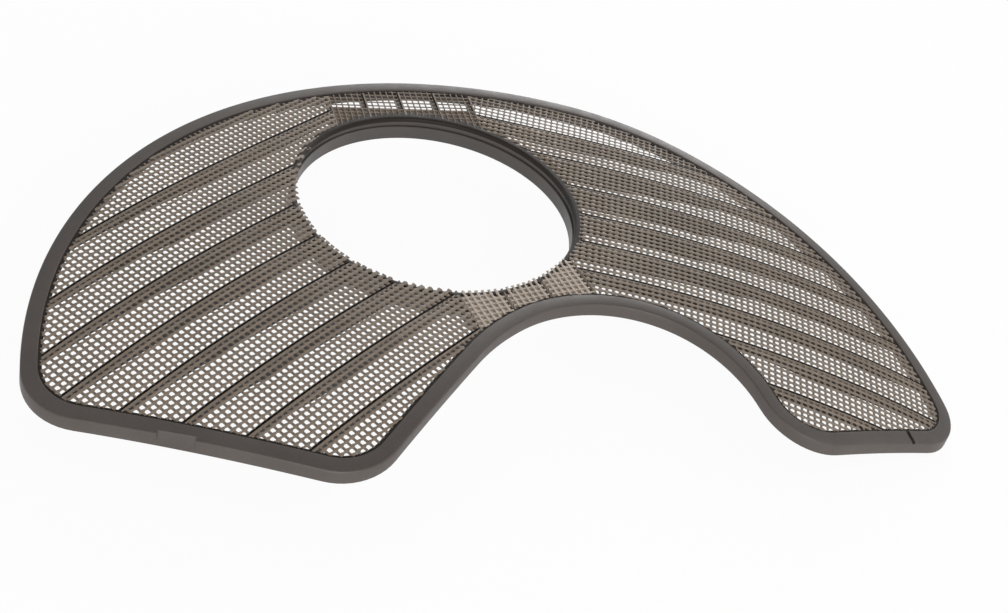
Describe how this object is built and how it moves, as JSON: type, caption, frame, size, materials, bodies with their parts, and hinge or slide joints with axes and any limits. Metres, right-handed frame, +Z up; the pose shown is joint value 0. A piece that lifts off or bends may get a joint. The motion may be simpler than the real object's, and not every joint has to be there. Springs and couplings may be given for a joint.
{
  "type": "dishwasher sump filter",
  "caption": "Domed kidney-shaped strainer plate with a collared round opening for a cylinder filter, an arch cut out of the front, a solid rim and a ribbed, slotted grid.",
  "frame": {"origin": "on the axis of the round opening, in the plane of the collar's lower edge", "axes": "+Z up along the opening's axis, +X along the grid strips of the right wing, +Y to the crown of the outer edge"},
  "size_m": [0.3336, 0.2343, 0.0283],
  "materials": {
    "dark_plastic": "satin moulded"
  },
  "bodies": {
    "root": {"filter_plate": "dark_plastic"}
  },
  "joints": []
}
